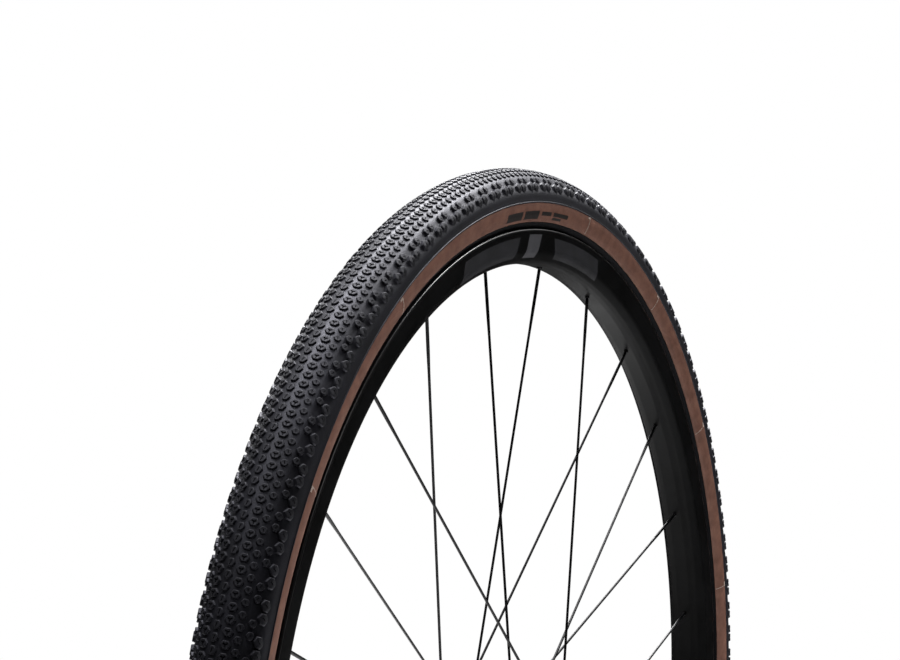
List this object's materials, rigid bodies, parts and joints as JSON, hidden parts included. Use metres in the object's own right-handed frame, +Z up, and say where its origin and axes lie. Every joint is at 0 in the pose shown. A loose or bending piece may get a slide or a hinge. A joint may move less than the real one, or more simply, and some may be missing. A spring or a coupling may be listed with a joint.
{
  "type": "bicycle wheel with tyre",
  "caption": "Gravel bicycle tyre with block tread and tan sidewalls, mounted on a black spoked disc-brake front wheel with a through-axle hub.",
  "frame": {"origin": "centre of the wheel: on the spin axis, in the tyre's middle plane and midway between the axle ends", "axes": "+Y along the spin axis, away from the brake side; +Z up; the valve points to -Z"},
  "size_m": [0.7052, 0.1, 0.7052],
  "materials": {
    "tyre_rubber": "matt black moulded rubber",
    "tan_sidewall": "brown rubberised sidewall, matt",
    "casing_nylon": "rubberised nylon weave",
    "breaker_aramid": "aramid weave",
    "bead_aramid": "wound aramid cord",
    "rim_black": "satin black",
    "rim_tape_film": "clear amber film",
    "spoke_black": "black oxide, satin",
    "hub_anodised": "black anodised, satin",
    "axle_alloy": "turned",
    "bearing_steel": "ground",
    "seal_rubber": "matt black",
    "valve_brass": "nickel washed, dull",
    "valve_black": "black anodised",
    "valve_cap_plastic": "moulded black"
  },
  "bodies": {
    "axle": {"axle_tube": "axle_alloy", "end_cap_left": "hub_anodised", "end_cap_right": "hub_anodised", "bearing_inner_race_left": "bearing_steel", "bearing_inner_race_right": "bearing_steel"},
    "wheel": {"tread_cap": "tyre_rubber", "breaker_belt": "breaker_aramid", "casing_ply": "casing_nylon", "sidewall_left": "tan_sidewall", "sidewall_right": "tan_sidewall", "chafer_left": "tyre_rubber", "chafer_right": "tyre_rubber", "bead_core_left": "bead_aramid", "bead_core_right": "bead_aramid", "rim_shell": "rim_black", "rim_tape": "rim_tape_film", "spoke_01": "spoke_black", "spoke_02": "spoke_black", "spoke_03": "spoke_black", "spoke_04": "spoke_black", "spoke_05": "spoke_black", "spoke_06": "spoke_black", "spoke_07": "spoke_black", "spoke_08": "spoke_black", "spoke_09": "spoke_black", "spoke_10": "spoke_black", "spoke_11": "spoke_black", "spoke_12": "spoke_black", "spoke_13": "spoke_black", "spoke_14": "spoke_black", "spoke_15": "spoke_black", "spoke_16": "spoke_black", "spoke_17": "spoke_black", "spoke_18": "spoke_black", "spoke_19": "spoke_black", "spoke_20": "spoke_black", "spoke_21": "spoke_black", "spoke_22": "spoke_black", "spoke_23": "spoke_black", "spoke_24": "spoke_black", "hub_shell": "hub_anodised", "bearing_outer_race_left": "bearing_steel", "bearing_outer_race_right": "bearing_steel", "bearing_seal_left": "seal_rubber", "bearing_seal_right": "seal_rubber", "valve_stem": "valve_brass", "valve_grommet": "seal_rubber", "valve_o_ring": "seal_rubber"},
    "ball_set_left": {"ball_set_left": "bearing_steel"},
    "ball_set_right": {"ball_set_right": "bearing_steel"},
    "valve_nut": {"valve_lock_nut": "valve_black"},
    "valve_core": {"valve_core": "valve_brass"},
    "valve_cap": {"valve_cap": "valve_cap_plastic"}
  },
  "joints": [
    {"name": "wheel_spin", "type": "hinge", "parent": "axle", "child": "wheel", "pos_m": [0, 0, 0], "axis": [0, 1, 0], "continuous": true},
    {"name": "ball_orbit_left", "type": "hinge", "parent": "axle", "child": "ball_set_left", "pos_m": [0, -0.0402, 0], "axis": [0, 1, 0], "continuous": true},
    {"name": "ball_orbit_right", "type": "hinge", "parent": "axle", "child": "ball_set_right", "pos_m": [0, 0.0402, 0], "axis": [0, 1, 0], "continuous": true},
    {"name": "valve_nut_travel", "type": "slide", "parent": "wheel", "child": "valve_nut", "axis": [0, 0, 1], "range_m": [0, 0.011]},
    {"name": "valve_core_lift", "type": "slide", "parent": "wheel", "child": "valve_core", "axis": [0, 0, 1], "range_m": [0, 0.0025]},
    {"name": "valve_cap_lift", "type": "slide", "parent": "wheel", "child": "valve_cap", "axis": [0, 0, 1], "range_m": [0, 0.02]}
  ],
  "couplings": [
    {"joint": "ball_orbit_left", "follows": "wheel_spin", "ratio": 0.5851},
    {"joint": "ball_orbit_right", "follows": "wheel_spin", "ratio": 0.5851}
  ]
}
